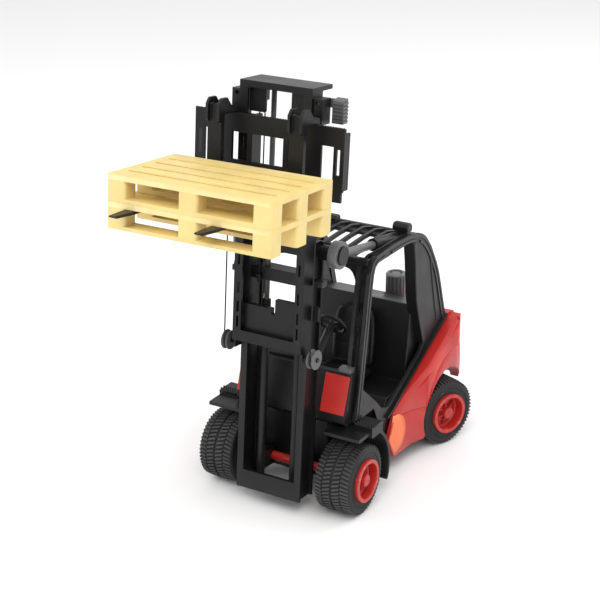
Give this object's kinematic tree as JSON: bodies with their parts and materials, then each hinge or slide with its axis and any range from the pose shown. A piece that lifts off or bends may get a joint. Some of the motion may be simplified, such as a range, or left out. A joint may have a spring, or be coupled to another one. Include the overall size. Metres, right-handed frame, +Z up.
{
  "type": "toy forklift",
  "caption": "Counterbalance toy forklift with a raised two-stage mast, steered rear wheels, open cab and stacked flat pallets on its forks.",
  "frame": {"origin": "centre of the bounding box on the ground under the tyres", "axes": "-Y is the truck's forward direction, +X the driver's left, +Z up"},
  "size_m": [0.1484, 0.3392, 0.311],
  "materials": {
    "black_plastic": "satin",
    "red_plastic": "semi-gloss",
    "rim_red": "semi-gloss",
    "dark_grey_plastic": "satin",
    "light_grey_plastic": "satin",
    "steel": "turned",
    "tyre": "matt",
    "pallet_plastic": "satin",
    "cord": "braided"
  },
  "bodies": {
    "truck": {"chassis_frame": "black_plastic", "front_axle_tube": "rim_red", "front_axle_rod": "steel", "rear_axle_beam": "black_plastic", "counterweight": "red_plastic", "side_panel_left": "red_plastic", "side_panel_right": "red_plastic", "fender_left": "black_plastic", "fender_right": "black_plastic", "cab_frame": "black_plastic", "roof_grille": "black_plastic", "work_lights": "black_plastic", "front_cowl": "black_plastic", "cowl_inserts": "red_plastic", "engine_cover": "black_plastic", "seat_cushion": "black_plastic", "seat_backrest": "black_plastic", "dashboard": "black_plastic", "steering_column": "black_plastic", "control_levers": "black_plastic"},
    "front_wheel_left": {"tyre_front_left": "tyre", "rim_front_left": "rim_red"},
    "front_wheel_right": {"tyre_front_right": "tyre", "rim_front_right": "rim_red"},
    "rear_wheel_left": {"tyre_rear_left": "tyre", "rim_rear_left": "rim_red"},
    "rear_wheel_right": {"tyre_rear_right": "tyre", "rim_rear_right": "rim_red"},
    "knuckle_left": {"knuckle_left": "dark_grey_plastic"},
    "knuckle_right": {"knuckle_right": "dark_grey_plastic"},
    "tie_bar": {"tie_bar": "dark_grey_plastic"},
    "steering_knob": {"steering_knob": "dark_grey_plastic", "steering_pinion": "dark_grey_plastic"},
    "tow_pin": {"tow_pin": "steel"},
    "steering_wheel": {"steering_wheel": "black_plastic"},
    "outer_mast": {"outer_mast": "black_plastic", "lift_barrels": "dark_grey_plastic", "lower_string_rear": "cord", "upper_string_rear": "cord"},
    "inner_mast": {"inner_mast": "black_plastic", "lift_rams": "dark_grey_plastic", "lower_string_front": "cord", "upper_string_front": "cord"},
    "lower_pulley_left": {"lower_pulley_left": "dark_grey_plastic"},
    "lower_pulley_right": {"lower_pulley_right": "dark_grey_plastic"},
    "upper_pulley_left": {"upper_pulley_left": "dark_grey_plastic"},
    "upper_pulley_right": {"upper_pulley_right": "dark_grey_plastic"},
    "carriage": {"carriage": "black_plastic"},
    "fork_left": {"fork_left": "dark_grey_plastic"},
    "fork_right": {"fork_right": "dark_grey_plastic"},
    "release_lever": {"release_lever": "dark_grey_plastic"},
    "tilt_cylinder_left": {"tilt_cylinder_left": "black_plastic"},
    "tilt_cylinder_right": {"tilt_cylinder_right": "black_plastic"},
    "tilt_rod_left": {"tilt_rod_left": "light_grey_plastic"},
    "tilt_rod_right": {"tilt_rod_right": "light_grey_plastic"},
    "pallet_lower": {"pallet_lower": "pallet_plastic"},
    "pallet_upper": {"pallet_upper": "pallet_plastic"}
  },
  "joints": [
    {"name": "front_wheel_left_spin", "type": "hinge", "parent": "truck", "child": "front_wheel_left", "pos_m": [0.0635, -0.01445, 0.0266], "axis": [1, 0, 0], "continuous": true},
    {"name": "steer_left", "type": "hinge", "parent": "truck", "child": "knuckle_left", "pos_m": [0.048, 0.12205, 0.0266], "axis": [0, 0, 1], "range_deg": [-1.2, 42.8]},
    {"name": "rear_wheel_left_spin", "type": "hinge", "parent": "knuckle_left", "child": "rear_wheel_left", "pos_m": [0.06623, 0.11513, 0.0266], "axis": [0.9348, -0.3551, 0], "continuous": true},
    {"name": "front_wheel_right_spin", "type": "hinge", "parent": "truck", "child": "front_wheel_right", "pos_m": [-0.0635, -0.01445, 0.0266], "axis": [1, 0, 0], "continuous": true},
    {"name": "steer_right", "type": "hinge", "parent": "truck", "child": "knuckle_right", "pos_m": [-0.048, 0.12205, 0.0266], "axis": [0, 0, 1], "range_deg": [-1.2, 42.8]},
    {"name": "rear_wheel_right_spin", "type": "hinge", "parent": "knuckle_right", "child": "rear_wheel_right", "pos_m": [-0.06623, 0.12898, 0.0266], "axis": [0.9348, -0.3551, 0], "continuous": true},
    {"name": "tie_bar_slide", "type": "slide", "parent": "truck", "child": "tie_bar", "axis": [1, 0, 0], "range_m": [-0.0046, 0.0002]},
    {"name": "steering_knob_turn", "type": "hinge", "parent": "truck", "child": "steering_knob", "pos_m": [0, 0.15055, 0.1], "axis": [0, 0, 1], "range_deg": [-61.5, 2]},
    {"name": "tow_pin_lift", "type": "slide", "parent": "truck", "child": "tow_pin", "axis": [0, 0, 1], "range_m": [0, 0.014]},
    {"name": "steering_wheel_turn", "type": "hinge", "parent": "truck", "child": "steering_wheel", "pos_m": [0, 0.0478, 0.11232], "axis": [0, 0.788, 0.6157], "continuous": true},
    {"name": "mast_tilt", "type": "hinge", "parent": "truck", "child": "outer_mast", "pos_m": [0, -0.01445, 0.0266], "axis": [1, 0, 0], "range_deg": [-3, 8]},
    {"name": "mast_lift", "type": "slide", "parent": "outer_mast", "child": "inner_mast", "axis": [0, 0.0872, 0.9962], "range_m": [-0.1045, 0], "deforming": ["lower_string_rear", "upper_string_rear"]},
    {"name": "carriage_lift", "type": "slide", "parent": "inner_mast", "child": "carriage", "axis": [0, 0.0872, 0.9962], "range_m": [-0.1045, 0], "deforming": ["lower_string_front", "upper_string_front"]},
    {"name": "lower_pulley_left_spin", "type": "hinge", "parent": "inner_mast", "child": "lower_pulley_left", "pos_m": [0.035, -0.03905, 0.12412], "axis": [1, 0, 0], "range_deg": [-5, 1160]},
    {"name": "upper_pulley_left_spin", "type": "hinge", "parent": "inner_mast", "child": "upper_pulley_left", "pos_m": [0.0165, -0.01928, 0.29846], "axis": [1, 0, 0], "range_deg": [-5, 2150]},
    {"name": "lower_pulley_right_spin", "type": "hinge", "parent": "inner_mast", "child": "lower_pulley_right", "pos_m": [-0.035, -0.03905, 0.12412], "axis": [1, 0, 0], "range_deg": [-5, 1160]},
    {"name": "upper_pulley_right_spin", "type": "hinge", "parent": "inner_mast", "child": "upper_pulley_right", "pos_m": [-0.0165, -0.01928, 0.29846], "axis": [1, 0, 0], "range_deg": [-5, 2150]},
    {"name": "fork_left_shift", "type": "slide", "parent": "carriage", "child": "fork_left", "axis": [1, 0, 0], "range_m": [-0.008, 0.015]},
    {"name": "fork_right_shift", "type": "slide", "parent": "carriage", "child": "fork_right", "axis": [1, 0, 0], "range_m": [0, 0.008]},
    {"name": "release_lever_press", "type": "hinge", "parent": "inner_mast", "child": "release_lever", "pos_m": [0.0312, -0.02059, 0.30058], "axis": [0, 0.9962, -0.0872], "range_deg": [0, 10], "stiffness_Nm_per_rad": 0.01, "springref_deg": -17.19},
    {"name": "tilt_cylinder_left_swing", "type": "hinge", "parent": "truck", "child": "tilt_cylinder_left", "pos_m": [0.038, 0.06955, 0.1796], "axis": [1, 0, 0], "range_deg": [-1.5, 4]},
    {"name": "tilt_rod_left_slide", "type": "slide", "parent": "tilt_cylinder_left", "child": "tilt_rod_left", "axis": [0, -0.9875, 0.1577], "range_m": [-0.0095, 0.024]},
    {"name": "tilt_cylinder_right_swing", "type": "hinge", "parent": "truck", "child": "tilt_cylinder_right", "pos_m": [-0.038, 0.06955, 0.1796], "axis": [1, 0, 0], "range_deg": [-1.5, 4]},
    {"name": "tilt_rod_right_slide", "type": "slide", "parent": "tilt_cylinder_right", "child": "tilt_rod_right", "axis": [0, -0.9875, 0.1577], "range_m": [-0.0095, 0.024]},
    {"name": "pallet_slide_off", "type": "slide", "parent": "carriage", "child": "pallet_lower", "axis": [0, -0.9962, 0.0872], "range_m": [0, 0.09]},
    {"name": "pallet_lift_off", "type": "slide", "parent": "pallet_lower", "child": "pallet_upper", "axis": [0, 0.0872, 0.9962], "range_m": [0, 0.03]}
  ],
  "couplings": [
    {"joint": "steer_right", "follows": "steer_left", "ratio": 1},
    {"joint": "tie_bar_slide", "follows": "steer_left", "m_per_rad": -0.006},
    {"joint": "steering_knob_turn", "follows": "steer_left", "ratio": -1.4286},
    {"joint": "carriage_lift", "follows": "mast_lift", "ratio": 1},
    {"joint": "lower_pulley_left_spin", "follows": "mast_lift", "rad_per_m": -192.31},
    {"joint": "upper_pulley_left_spin", "follows": "mast_lift", "rad_per_m": -357.14},
    {"joint": "lower_pulley_right_spin", "follows": "mast_lift", "rad_per_m": -192.31},
    {"joint": "upper_pulley_right_spin", "follows": "mast_lift", "rad_per_m": -357.14},
    {"joint": "tilt_cylinder_left_swing", "follows": "mast_tilt", "ratio": 0.32},
    {"joint": "tilt_rod_left_slide", "follows": "mast_tilt", "m_per_rad": 0.1635},
    {"joint": "tilt_cylinder_right_swing", "follows": "mast_tilt", "ratio": 0.32},
    {"joint": "tilt_rod_right_slide", "follows": "mast_tilt", "m_per_rad": 0.1635}
  ]
}
